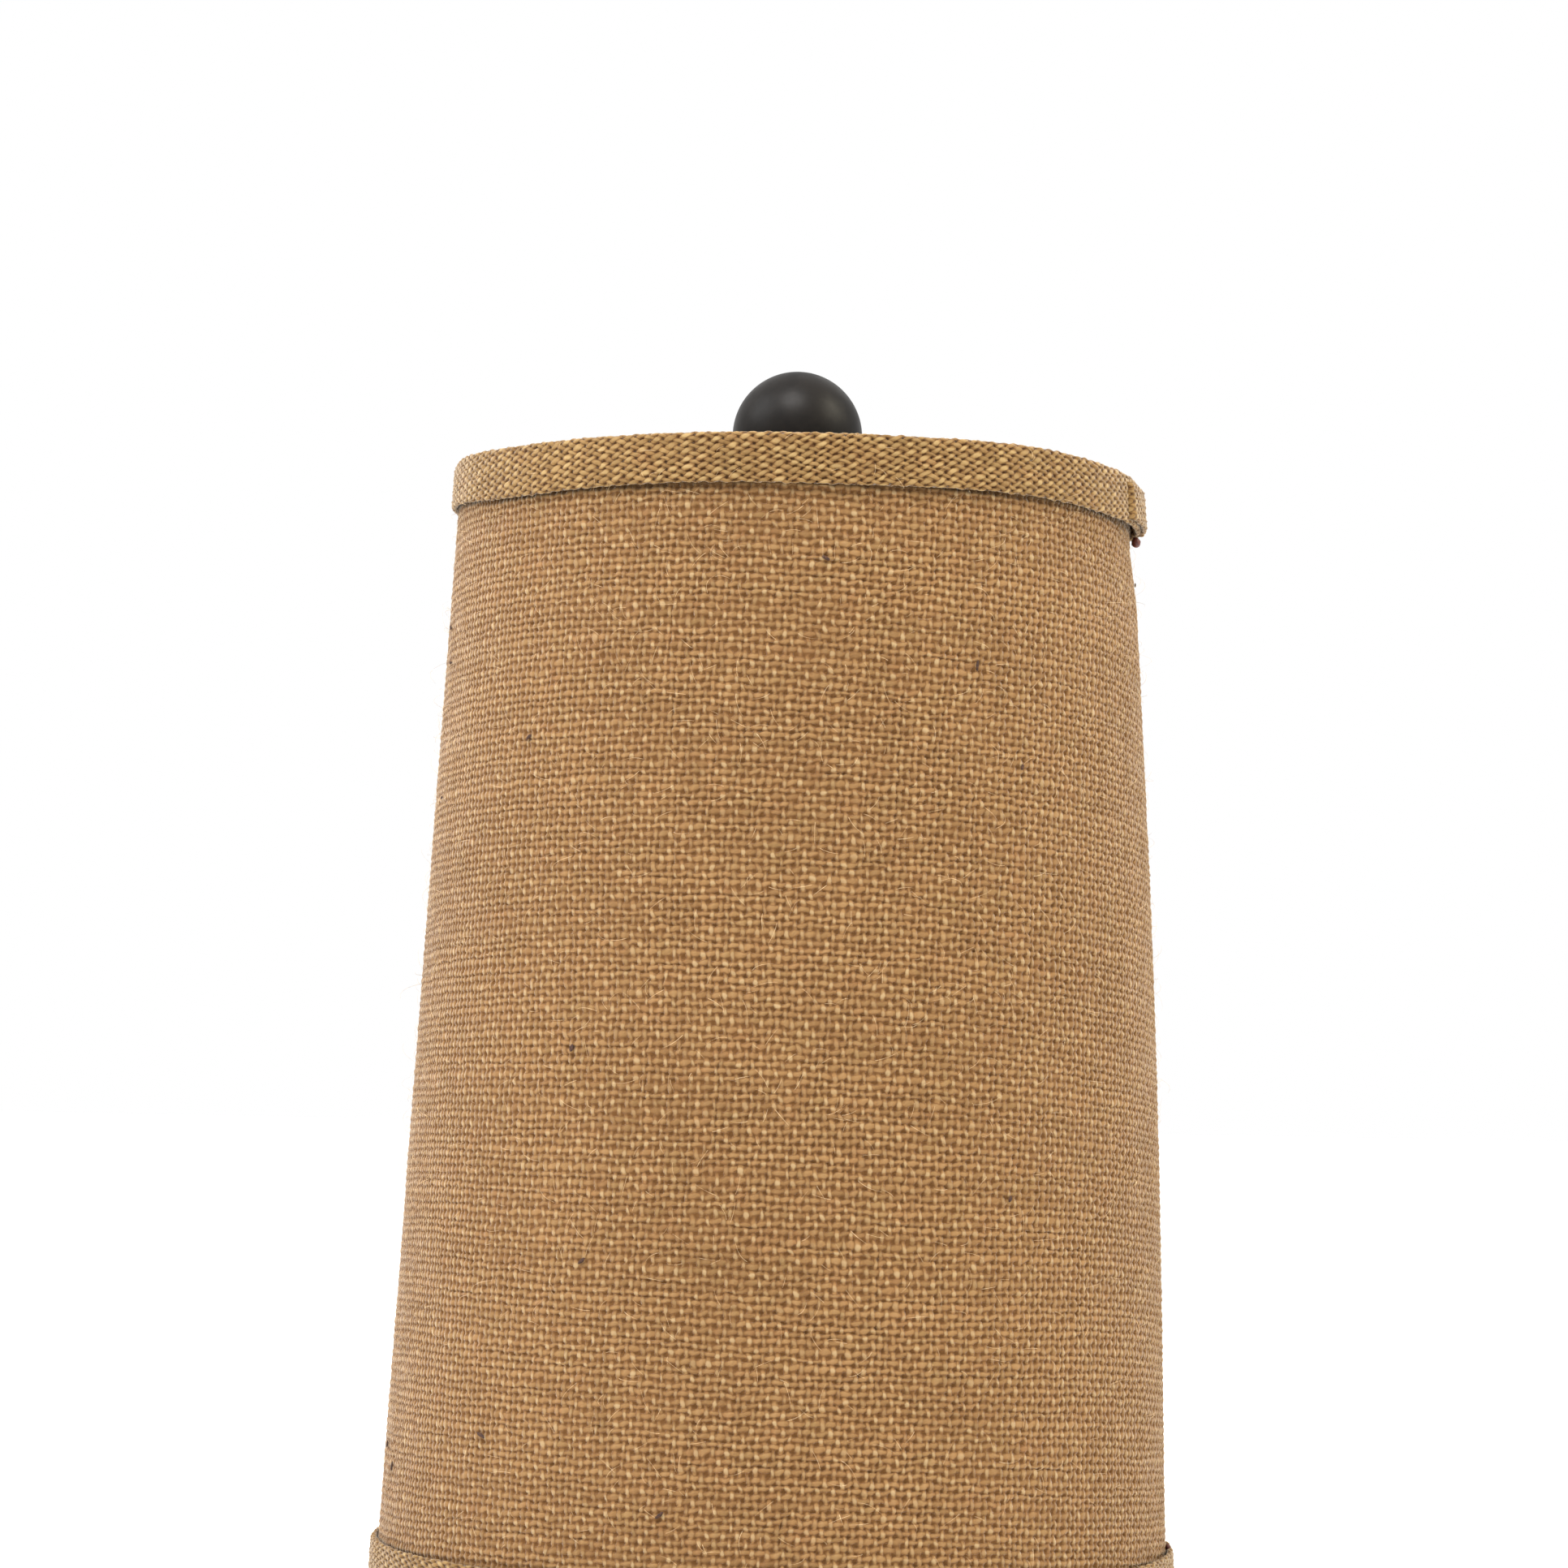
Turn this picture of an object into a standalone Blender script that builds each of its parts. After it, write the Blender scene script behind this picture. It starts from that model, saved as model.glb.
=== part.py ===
"""A tapered burlap lamp shade with a dropped washer spider and a screw-on ball finial.

The shade stands on its bottom rim: the origin is the centre of that rim, on the surface
that it rests on, and +Z is up. Azimuth 0 is the front, towards -Y, and 90 degrees is +X.
"""

import math

import bmesh
import bpy

MM = 0.001
GAP = 0.3 * MM  # room left between two pieces that touch

# Driving sizes of the shade
HEIGHT = 243.0 * MM
TOP_RADIUS = 74.7 * MM  # outside of the cover, at the top rim
BOTTOM_RADIUS = 87.0 * MM  # outside of the cover, at the bottom rim
COVER_THICKNESS = 0.9 * MM
LINER_THICKNESS = 0.4 * MM

# Edge trim: a bias-cut strip folded over each rim, with its tail lapped over its start
TRIM_THICKNESS = 1.2 * MM
TRIM_OUTER_WIDTH = 11.0 * MM
TRIM_INNER_WIDTH = 8.0 * MM
TRIM_CORNER = 1.6 * MM
TRIM_EDGE_ROUND = 0.35 * MM
LAP_THICKNESS = 1.1 * MM
TOP_LAP = (77.0, 103.0)  # azimuths of the lap, in degrees
BOTTOM_LAP = (82.0, 104.0)
LAP_STEP = 0.8  # degrees over which the lap's end rises

# Wire frame
WIRE_RADIUS = 1.2 * MM
SPIDER_DROP = 12.7 * MM
SPIDER_AZIMUTHS = (60.0, 180.0, 300.0)
ARM_BEND_RADIUS = 4.0 * MM
ARM_INNER_END = 8.6 * MM  # from the axis
HUB_RADIUS = 13.0 * MM
HUB_HOLE_RADIUS = 5.55 * MM
HUB_THICKNESS = 1.6 * MM
HUB_CHAMFER = 0.3 * MM

# Finial
WASHER_RADIUS = 7.4 * MM
WASHER_HOLE_RADIUS = 3.5 * MM
WASHER_THICKNESS = 0.8 * MM
BALL_RADIUS = 14.5 * MM
BALL_CENTRE = 253.3 * MM  # height over the bottom rim
BALL_FLAT = 14.0 * MM  # from the ball's centre down to the flat that meets the collar
BALL_BORE_RADIUS = 3.3 * MM
FLANGE_RADIUS = 6.5 * MM
FLANGE_THICKNESS = 1.8 * MM
NECK_RADIUS = 4.6 * MM
CUP_RADIUS = 5.6 * MM
CUP_THICKNESS = 1.3 * MM
SHANK_RADIUS = 3.0 * MM
SHANK_LENGTH = 10.0 * MM
SOCKET_RADIUS = 3.1 * MM
SOCKET_DEPTH = 9.0 * MM

# Facets
RIM_STEPS = 64
WIRE_SIDES = 8
HUB_STEPS = 40
FINIAL_STEPS = 32
BALL_RINGS = 12
CORNER_STEPS = 3
BEND_STEPS = 5

# Heights and radii that follow from those
RIM_EDGE = TRIM_THICKNESS + GAP  # from each rim to the cover's and the liner's edge
RING_SETBACK = COVER_THICKNESS + GAP + LINER_THICKNESS + GAP + WIRE_RADIUS
RING_HEIGHT = RIM_EDGE + WIRE_RADIUS  # from each rim to the wire's centre
TRIM_INNER_FACE = RING_SETBACK + WIRE_RADIUS + GAP
ARM_HEIGHT = HEIGHT - RING_HEIGHT - SPIDER_DROP
HUB_TOP = ARM_HEIGHT - WIRE_RADIUS - GAP
WASHER_BOTTOM = HUB_TOP + GAP
COLLAR_BOTTOM = WASHER_BOTTOM + WASHER_THICKNESS + GAP
BALL_BOTTOM = BALL_CENTRE - BALL_FLAT
COLLAR_TOP = BALL_BOTTOM - GAP

BURLAP = (0.37, 0.21, 0.09)
BURLAP_TRIM = (0.38, 0.22, 0.09)
STYRENE = (0.82, 0.79, 0.70)
FITTER_METAL = (0.60, 0.47, 0.22)
FIBRE = (0.05, 0.045, 0.04)
DARK_BRONZE = (0.045, 0.038, 0.034)


def clear_scene():
    """Removes what the scene already holds."""
    for old in list(bpy.data.objects):
        bpy.data.objects.remove(old)


def material(name, colour, roughness, metallic=0.0):
    """A plain Principled material."""
    made = bpy.data.materials.new(name)
    made.use_nodes = True
    shader = made.node_tree.nodes["Principled BSDF"]
    shader.inputs["Base Color"].default_value = (*colour, 1.0)
    shader.inputs["Roughness"].default_value = roughness
    shader.inputs["Metallic"].default_value = metallic
    return made


def cover_radius(z):
    """Outside radius of the cover at a height."""
    return BOTTOM_RADIUS + (TOP_RADIUS - BOTTOM_RADIUS) * z / HEIGHT


def around(azimuth, radius, z):
    """The point at an azimuth in degrees, a radius and a height."""
    angle = math.radians(azimuth)
    return (radius * math.sin(angle), -radius * math.cos(angle), z)


def arc(centre, radius, start, end, steps):
    """Points on an arc in the (radius, height) plane, from one angle in degrees to another."""
    points = []
    for i in range(steps + 1):
        angle = math.radians(start + (end - start) * i / steps)
        points.append((centre[0] + radius * math.cos(angle), centre[1] + radius * math.sin(angle)))
    return points


def even_azimuths(steps):
    """Azimuths in degrees, evenly spaced over a full turn."""
    return [360.0 * i / steps for i in range(steps)]


def add_turned(name, profile_at, azimuths, surface, parent):
    """A closed body that runs round the Z axis. profile_at gives its closed section at an azimuth."""
    mesh = bmesh.new()
    sections = []
    for azimuth in azimuths:
        section = [mesh.verts.new(around(azimuth, r, z)) for r, z in profile_at(azimuth)]
        sections.append(section)
    for here, there in zip(sections, sections[1:] + sections[:1]):
        for i in range(len(here)):
            j = (i + 1) % len(here)
            mesh.faces.new((here[i], here[j], there[j], there[i]))
    return add_mesh(name, mesh, surface, parent)


def add_mesh(name, mesh, surface, parent):
    """An object from a bmesh, with its faces pointing out and its round faces smooth."""
    bmesh.ops.recalc_face_normals(mesh, faces=mesh.faces)
    data = bpy.data.meshes.new(name)
    mesh.to_mesh(data)
    mesh.free()
    data.shade_smooth()
    data.set_sharp_from_angle(angle=math.radians(35))
    data.materials.append(surface)
    made = bpy.data.objects.new(name, data)
    bpy.context.scene.collection.objects.link(made)
    made.parent = parent
    return made


def shell_profile(setback, thickness):
    """The section of a conical wall between the two rims, set back from the cover's outside."""
    low, high = RIM_EDGE, HEIGHT - RIM_EDGE
    outer = [(cover_radius(z) - setback, z) for z in (low, high)]
    inner = [(r - thickness, z) for r, z in reversed(outer)]
    return outer + inner


def trim_profile(lap):
    """The hooked section of a trim as (distance out from the cover's outside, distance from the rim)."""
    outer = GAP + TRIM_THICKNESS + lap
    inner = -TRIM_INNER_FACE - TRIM_THICKNESS
    edge = TRIM_EDGE_ROUND
    points = arc((outer - edge, TRIM_OUTER_WIDTH - edge), edge, 90, 0, CORNER_STEPS)
    points += arc((outer - TRIM_CORNER, TRIM_CORNER), TRIM_CORNER, 0, -90, CORNER_STEPS)
    points += arc((inner + TRIM_CORNER, TRIM_CORNER), TRIM_CORNER, -90, -180, CORNER_STEPS)
    points.append((inner, TRIM_INNER_WIDTH))
    points.append((-TRIM_INNER_FACE, TRIM_INNER_WIDTH))
    points.append((-TRIM_INNER_FACE, TRIM_THICKNESS))
    points.append((GAP, TRIM_THICKNESS))
    points.append((GAP, TRIM_OUTER_WIDTH))
    return points


def lap_at(azimuth, lap_range):
    """How much thicker the trim is at an azimuth, where its tail lies over its start."""
    start, end = lap_range
    rise = min((azimuth - start) / LAP_STEP, (end - azimuth) / LAP_STEP, 1.0)
    return LAP_THICKNESS * max(rise, 0.0)


def add_trim(name, at_top, lap_range, surface, parent):
    """The strip folded over one rim."""
    start, end = lap_range
    steps = [start, start + LAP_STEP, end - LAP_STEP, end]
    azimuths = sorted(even_azimuths(RIM_STEPS) + steps)

    def profile_at(azimuth):
        section = []
        for out, depth in trim_profile(lap_at(azimuth, lap_range)):
            z = HEIGHT - depth if at_top else depth
            section.append((cover_radius(z) + out, z))
        return section

    return add_turned(name, profile_at, azimuths, surface, parent)


def add_ring(name, z, surface, parent):
    """A wire hoop just inside the liner."""
    centre = (cover_radius(z) - RING_SETBACK, z)
    section = arc(centre, WIRE_RADIUS, 0, 360, WIRE_SIDES)[:-1]
    return add_turned(name, lambda azimuth: section, even_azimuths(RIM_STEPS), surface, parent)


def arm_path():
    """The arm's centre line as (radius, height): down beside the liner, round a bend, in to the hub."""
    ring_z = HEIGHT - RING_HEIGHT
    slope = (BOTTOM_RADIUS - TOP_RADIUS) / HEIGHT
    lean = math.degrees(math.atan(slope))
    top_z = ring_z - 2 * WIRE_RADIUS - GAP
    foot_z = ARM_HEIGHT + ARM_BEND_RADIUS
    foot_r = cover_radius(foot_z) - RING_SETBACK
    top = (cover_radius(top_z) - RING_SETBACK, top_z)
    centre = (foot_r - ARM_BEND_RADIUS, foot_z)
    bend = arc(centre, ARM_BEND_RADIUS, lean, -90, BEND_STEPS)
    return [top] + bend + [(ARM_INNER_END, ARM_HEIGHT)]


def add_arm(name, azimuth, surface, parent):
    """One spider arm: a bent wire with closed ends."""
    curve = bpy.data.curves.new(name, "CURVE")
    curve.dimensions = "3D"
    curve.bevel_depth = WIRE_RADIUS
    curve.bevel_resolution = 2
    curve.use_fill_caps = True
    path = arm_path()
    spline = curve.splines.new("POLY")
    spline.points.add(len(path) - 1)
    for point, (radius, z) in zip(spline.points, path):
        point.co = (0.0, -radius, z, 1.0)
    curve.materials.append(surface)
    made = bpy.data.objects.new(name, curve)
    bpy.context.scene.collection.objects.link(made)
    made.parent = parent
    made.rotation_euler = (0.0, 0.0, math.radians(azimuth))
    return made


def ring_plate(inner, outer, low, high, chamfer):
    """The section of a flat ring with its edges broken."""
    return [
        (inner + chamfer, low),
        (outer - chamfer, low),
        (outer, low + chamfer),
        (outer, high - chamfer),
        (outer - chamfer, high),
        (inner + chamfer, high),
        (inner, high - chamfer),
        (inner, low + chamfer),
    ]


def collar_profile():
    """The section of the finial's collar: flange, neck and cup outside, shank on top, socket inside."""
    flange_top = COLLAR_BOTTOM + FLANGE_THICKNESS
    cup_bottom = COLLAR_TOP - CUP_THICKNESS
    round_off = 0.4 * MM
    neck_curve = 1.0 * MM
    points = [(SOCKET_RADIUS + round_off, COLLAR_BOTTOM), (FLANGE_RADIUS - round_off, COLLAR_BOTTOM)]
    points += [(FLANGE_RADIUS, COLLAR_BOTTOM + round_off), (FLANGE_RADIUS, flange_top - round_off)]
    points += [(FLANGE_RADIUS - round_off, flange_top)]
    points += arc((NECK_RADIUS + neck_curve, flange_top + neck_curve), neck_curve, 270, 180, CORNER_STEPS)
    points += [(NECK_RADIUS, cup_bottom - neck_curve), (CUP_RADIUS - round_off, cup_bottom)]
    points += [(CUP_RADIUS, cup_bottom + round_off), (CUP_RADIUS, COLLAR_TOP)]
    points += [(SHANK_RADIUS, COLLAR_TOP), (SHANK_RADIUS, COLLAR_TOP + SHANK_LENGTH - round_off)]
    points += [(SHANK_RADIUS - round_off, COLLAR_TOP + SHANK_LENGTH), (0.0, COLLAR_TOP + SHANK_LENGTH)]
    points += [(0.0, COLLAR_BOTTOM + SOCKET_DEPTH + SOCKET_RADIUS / 2)]
    points += [(SOCKET_RADIUS, COLLAR_BOTTOM + SOCKET_DEPTH), (SOCKET_RADIUS, COLLAR_BOTTOM + round_off)]
    return points


def ball_profile():
    """The section of the ball: its flat, its round outside, and the blind bore for the shank."""
    flat_angle = -math.degrees(math.asin(BALL_FLAT / BALL_RADIUS))
    bore_top = COLLAR_TOP + SHANK_LENGTH + GAP
    points = [(BALL_BORE_RADIUS, BALL_BOTTOM)]
    points += arc((0.0, BALL_CENTRE), BALL_RADIUS, flat_angle, 90, BALL_RINGS)[:-1]
    points += [(0.0, BALL_CENTRE + BALL_RADIUS), (0.0, bore_top), (BALL_BORE_RADIUS, bore_top)]
    return points


def add_spun(name, profile, steps, surface, parent):
    """A body of revolution whose section may touch the axis."""
    mesh = bmesh.new()
    section = [mesh.verts.new((r, 0.0, z)) for r, z in profile]
    edges = []
    for here, there in zip(section, section[1:] + section[:1]):
        if here.co.x > 0.0 or there.co.x > 0.0:
            edges.append(mesh.edges.new((here, there)))
    bmesh.ops.spin(
        mesh,
        geom=section + edges,
        cent=(0.0, 0.0, 0.0),
        axis=(0.0, 0.0, 1.0),
        angle=2.0 * math.pi,
        steps=steps,
        use_merge=True,
        use_duplicate=False,
    )
    bmesh.ops.remove_doubles(mesh, verts=mesh.verts, dist=0.001 * MM)
    return add_mesh(name, mesh, surface, parent)


def build_shade(parent):
    """The shade itself: cover, liner, wire frame and trims."""
    burlap = material("burlap", BURLAP, 0.95)
    trim = material("burlap_trim", BURLAP_TRIM, 0.95)
    styrene = material("styrene", STYRENE, 0.45)
    metal = material("fitter_metal", FITTER_METAL, 0.35, 1.0)
    rim_azimuths = even_azimuths(RIM_STEPS)

    cover = shell_profile(0.0, COVER_THICKNESS)
    add_turned("fabric_cover", lambda azimuth: cover, rim_azimuths, burlap, parent)
    liner = shell_profile(COVER_THICKNESS + GAP, LINER_THICKNESS)
    add_turned("styrene_liner", lambda azimuth: liner, rim_azimuths, styrene, parent)

    add_trim("top_trim", True, TOP_LAP, trim, parent)
    add_trim("bottom_trim", False, BOTTOM_LAP, trim, parent)

    add_ring("top_ring", HEIGHT - RING_HEIGHT, metal, parent)
    add_ring("bottom_ring", RING_HEIGHT, metal, parent)
    for number, azimuth in enumerate(SPIDER_AZIMUTHS, start=1):
        add_arm(f"spider_arm_{number}", azimuth, metal, parent)
    hub = ring_plate(HUB_HOLE_RADIUS, HUB_RADIUS, HUB_TOP - HUB_THICKNESS, HUB_TOP, HUB_CHAMFER)
    add_turned("spider_hub", lambda azimuth: hub, even_azimuths(HUB_STEPS), metal, parent)


def build_finial(parent):
    """The finial: a friction washer on the hub, and the collar and ball that screw down on it."""
    fibre = material("fibre", FIBRE, 0.9)
    bronze = material("dark_bronze", DARK_BRONZE, 0.4, 0.6)
    washer = ring_plate(
        WASHER_HOLE_RADIUS, WASHER_RADIUS, WASHER_BOTTOM, WASHER_BOTTOM + WASHER_THICKNESS, 0.15 * MM
    )
    add_turned("finial_washer", lambda azimuth: washer, even_azimuths(FINIAL_STEPS), fibre, parent)
    add_spun("finial_collar", collar_profile(), FINIAL_STEPS, bronze, parent)
    add_spun("finial_ball", ball_profile(), FINIAL_STEPS, bronze, parent)


def main():
    clear_scene()
    shade = bpy.data.objects.new("shade", None)
    finial = bpy.data.objects.new("finial", None)
    for empty in (shade, finial):
        bpy.context.scene.collection.objects.link(empty)
    build_shade(shade)
    build_finial(finial)


main()
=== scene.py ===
"""Looks of the tapered burlap lamp shade.

The burlap is laid out flat, thread by thread, and then wrapped onto the shade's cone, so the
weave's relief, its colours and its slant all come from one cloth. Azimuth 0 is the front,
towards -Y, and 90 degrees is +X. Lengths are in metres unless a name says otherwise.
"""

import collections
import math

import bpy
import mathutils
import numpy as np
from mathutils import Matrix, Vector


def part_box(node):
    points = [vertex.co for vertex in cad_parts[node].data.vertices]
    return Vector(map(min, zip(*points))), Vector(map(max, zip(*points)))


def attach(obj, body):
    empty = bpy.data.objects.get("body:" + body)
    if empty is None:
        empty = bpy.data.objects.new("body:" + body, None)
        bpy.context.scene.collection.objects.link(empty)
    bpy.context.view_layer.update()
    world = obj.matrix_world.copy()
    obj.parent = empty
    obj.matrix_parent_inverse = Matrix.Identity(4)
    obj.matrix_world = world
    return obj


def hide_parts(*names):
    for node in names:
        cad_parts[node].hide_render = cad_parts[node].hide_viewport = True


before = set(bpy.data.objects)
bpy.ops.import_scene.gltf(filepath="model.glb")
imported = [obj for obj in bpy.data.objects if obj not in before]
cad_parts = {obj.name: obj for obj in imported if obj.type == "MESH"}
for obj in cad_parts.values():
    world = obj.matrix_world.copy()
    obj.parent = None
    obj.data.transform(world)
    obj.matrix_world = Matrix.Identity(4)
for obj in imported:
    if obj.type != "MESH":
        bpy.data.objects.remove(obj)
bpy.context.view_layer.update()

MM = 0.001
TURN = 2.0 * math.pi
SHARP = 38.0  # edges that turn by more than this many degrees stay sharp


# ---- sizes from the frame

def wall_of(node):
    """The outer surface of a conical wall as (lowest height, its radius, highest height, its radius)."""
    points = [vertex.co for vertex in bpy.data.objects[node].data.vertices]
    low = min(point.z for point in points)
    high = max(point.z for point in points)

    def widest(end):
        return max(math.hypot(point.x, point.y) for point in points if abs(point.z - end) < (high - low) / 2)

    return low, widest(low), high, widest(high)


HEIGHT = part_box("top_trim")[1][2]
WALL_LOW, LOW_RADIUS, WALL_HIGH, HIGH_RADIUS = wall_of("fabric_cover")
TAPER = (LOW_RADIUS - HIGH_RADIUS) / (WALL_HIGH - WALL_LOW)
BOTTOM_RADIUS = LOW_RADIUS + TAPER * WALL_LOW
APEX = BOTTOM_RADIUS / TAPER  # height at which the cone would close
LEAN = math.atan(TAPER)
TRIM_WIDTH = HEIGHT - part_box("top_trim")[0][2]
WIRE_RADIUS = 1.2 * MM
ARM_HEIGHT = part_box("spider_arm_2")[0][2] + WIRE_RADIUS
HUB_LOW, HUB_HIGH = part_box("spider_hub")
WASHER_LOW, WASHER_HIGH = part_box("finial_washer")
COLLAR_LOW, COLLAR_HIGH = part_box("finial_collar")
BALL_LOW, BALL_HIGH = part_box("finial_ball")


# ---- the shade's own shape

def cone_radius(z):
    """The cover's radius at a height, on the plain cone."""
    return BOTTOM_RADIUS - TAPER * z


RIGHT_BOW, RIGHT_TUCK = 1.05, 1.3  # how far the right side bows out, and draws in at the bottom, in mm
LEFT_SPREAD = 0.5  # how far the left side spreads at the bottom, in mm
WANDER = 0.22  # the wall's waviness at the front and the back, in mm
PINCH = 0.95 * MM
PINCH_MIDDLE, PINCH_REACH = 0.94, 0.035  # where the pinch is, in shares of the shade's height
# The top trim's humps as (size in mm, centre, reach), with the last two in degrees of azimuth
TOP_TRIM_RISES = ((1.5, -78.0, 20.0), (0.7, 40.0, 18.0))
TOP_TRIM_NARROWS = ((2.0, -100.0, 18.0), (-0.6, -52.0, 16.0))
TOP_TRIM_NARROWER, BOTTOM_TRIM_NARROWER = 0.25, 1.45  # than the CAD's trims all round, in mm
EDGE_WAVER = 0.15 * MM
TOP_SEED, BOTTOM_SEED = 20, 40


def bow(azimuth, z):
    """How far the wall stands off the plain cone. It bows out on the right and is a little oval."""
    t = np.clip(z / HEIGHT, 0.0, 1.0)
    side = np.sin(azimuth)
    right = RIGHT_BOW * np.sin(math.pi * t) ** 1.6 - RIGHT_TUCK * (1.0 - t) ** 2.5
    left = LEFT_SPREAD * (1.0 - t)
    wander = WANDER * np.sin(3.0 * azimuth + 0.8 + 2.0 * t) * np.cos(azimuth) ** 2
    return MM * (right * np.maximum(side, 0.0) ** 2 + left * np.minimum(side, 0.0) ** 2 + wander)


def pinch(azimuth, z):
    """On the right the cover is drawn in under the edge of the top trim."""
    t = z / HEIGHT
    return -PINCH * np.exp(-(((t - PINCH_MIDDLE) / PINCH_REACH) ** 2)) * np.maximum(np.sin(azimuth), 0.0) ** 3


def humps(azimuth, table):
    """The sum of soft humps round the shade, as in the tables above."""
    total = 0.0 * azimuth
    for size, centre, reach in table:
        away = np.mod(np.degrees(azimuth) - centre + 180.0, 360.0) - 180.0
        total = total + size * np.exp(-((away / reach) ** 2))
    return total


def trim_shift(azimuth, at_top):
    """How far a trim sits above where the plain rim would put it."""
    return MM * humps(azimuth, TOP_TRIM_RISES if at_top else ())


def trim_width(azimuth, at_top):
    """How far a trim's outer leg reaches from the rim."""
    narrower = TOP_TRIM_NARROWER + humps(azimuth, TOP_TRIM_NARROWS) if at_top else BOTTOM_TRIM_NARROWER
    seed = TOP_SEED if at_top else BOTTOM_SEED
    return TRIM_WIDTH - narrower * MM + EDGE_WAVER * value_noise(azimuth * 2.2 + 40.0, azimuth * 0.0, seed)


# ---- small tools

def value_noise(x, y, seed):
    """Smooth noise from -1 to 1 with one value for each unit square."""
    table = np.random.default_rng(seed).uniform(-1.0, 1.0, (256, 256))
    column, row = np.floor(x).astype(int), np.floor(y).astype(int)
    fx, fy = x - column, y - row
    fx, fy = fx * fx * (3.0 - 2.0 * fx), fy * fy * (3.0 - 2.0 * fy)
    left, right = column % 256, (column + 1) % 256
    low, high = row % 256, (row + 1) % 256
    bottom = table[left, low] * (1.0 - fx) + table[right, low] * fx
    top = table[left, high] * (1.0 - fx) + table[right, high] * fx
    return bottom * (1.0 - fy) + top * fy


def ease(x):
    """A smooth step from 0 to 1."""
    x = np.clip(x, 0.0, 1.0)
    return x * x * (3.0 - 2.0 * x)


def on_shade(azimuth, radius, z):
    """Points at azimuths in radians, radii and heights."""
    return np.stack([radius * np.sin(azimuth), -radius * np.cos(azimuth), z + 0.0 * azimuth], axis=-1)


def link(made):
    """Puts an object in the scene."""
    bpy.context.scene.collection.objects.link(made)
    return made


def arc_points(centre, radius, start, end, steps=8):
    """Points on an arc in a plane, from one angle in degrees to another."""
    angles = np.radians(np.linspace(start, end, steps + 1))
    return [(centre[0] + radius * math.cos(a), centre[1] + radius * math.sin(a)) for a in angles]


def add_mesh(name, points, faces, surface, uv=None, tint=None):
    """A smooth mesh object from arrays of points and of faces, which all have as many sides."""
    points, faces = np.asarray(points, dtype=np.float32), np.asarray(faces, dtype=np.int32)
    mesh = bpy.data.meshes.new(name)
    mesh.vertices.add(len(points))
    mesh.vertices.foreach_set("co", points.ravel())
    sides = faces.shape[1]
    mesh.loops.add(faces.size)
    mesh.loops.foreach_set("vertex_index", faces.ravel())
    mesh.polygons.add(len(faces))
    mesh.polygons.foreach_set("loop_start", np.arange(0, faces.size, sides, dtype=np.int32))
    mesh.update(calc_edges=True)
    if uv is not None:
        layer = mesh.uv_layers.new(name="threads")
        layer.data.foreach_set("uv", np.asarray(uv, dtype=np.float32)[faces.ravel()].ravel())
    # tint is the glue line with the trims' painted shadow, kept as an attribute.
    if tint is not None:
        layer = mesh.attributes.new("glue_and_shade", "FLOAT", "POINT")
        layer.data.foreach_set("value", np.asarray(tint, dtype=np.float32).ravel())
    mesh.shade_smooth()
    mesh.materials.append(surface)
    return link(bpy.data.objects.new(name, mesh))


def add_solid(name, points, faces, surface, sharp=SHARP):
    """A rigid mesh object from lists of points and faces, smooth but for its sharp edges."""
    mesh = bpy.data.meshes.new(name)
    mesh.from_pydata([tuple(point) for point in points], [], [tuple(face) for face in faces])
    mesh.validate()
    mesh.shade_smooth()
    mesh.set_sharp_from_angle(angle=math.radians(sharp))
    mesh.materials.append(surface)
    return link(bpy.data.objects.new(name, mesh))


def dress(piece, body, slot, *nodes):
    """Rides a piece on a body and hides the nodes that it stands for. slot, the name of its finish, is not used.
    """
    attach(piece, body)
    if nodes:
        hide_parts(*nodes)
    return piece


def lattice_faces(shape, inside):
    """Quads over a lattice, apart from those with every corner outside."""
    number = np.arange(shape[0] * shape[1]).reshape(shape)
    corners = [number[:-1, :-1], number[1:, :-1], number[1:, 1:], number[:-1, 1:]]
    faces = np.stack(corners, axis=-1).reshape(-1, 4)
    return faces[inside.ravel()[faces].any(axis=1)]


def used_only(faces, *arrays):
    """The faces renumbered, and the arrays without the points that no face uses."""
    used, where = np.unique(faces, return_inverse=True)
    return where.reshape(faces.shape), *[array[used] for array in arrays]


# ---- the weave

# Halves are half the width of a yarn, and lean is how far each float slants, in threads. Lifts are how far
# a yarn rises and dives, in shares of the relief: the yarns with the smaller lift run on as straight ropes.
# Shift is how far below its crossing a warp is highest, in threads.
Weave = collections.namedtuple("Weave", "warp_half weft_half warp_lift weft_lift lean shift")
YARN_SWELL = 0.05  # how much wider a yarn is where it lies on top, in threads
YARN_BULGE = 0.4  # the share of the relief that is the yarn's own roundness
HOLE_DEPTH = -0.6


def weave_height(u, v, weave):
    """The relief of a plain weave, from a hole to 1 on a crown. u and v count warp and weft threads."""
    cell_u, cell_v = np.round(u), np.round(v)
    fu, fv = u - cell_u, v - cell_v
    warp_on_top = 1.0 - 2.0 * np.mod(cell_u + cell_v, 2.0)

    def yarn(across, along, half, lift, sign, shift):
        wave = sign * warp_on_top * np.cos(math.pi * (along + shift))
        leaned = across + warp_on_top * weave.lean * along
        bulge = np.sqrt(np.maximum(0.0, 1.0 - (leaned / (half + YARN_SWELL * wave)) ** 2))
        return np.where(bulge > 0, YARN_BULGE * bulge + lift * wave, HOLE_DEPTH)

    warp = yarn(fu, fv, weave.warp_half, weave.warp_lift, 1.0, weave.shift)
    weft = yarn(fv, fu, weave.weft_half, weave.weft_lift, -1.0, 0.0)
    return np.maximum(np.maximum(warp, weft), HOLE_DEPTH)


def thread_lattice(low, high, steps):
    """Thread counts u and v at every mesh point of a piece of cloth."""
    u = np.arange(low[0], high[0], 1.0 / steps)
    v = np.arange(low[1], high[1], 1.0 / steps)
    return np.meshgrid(u, v, indexing="ij")


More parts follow.
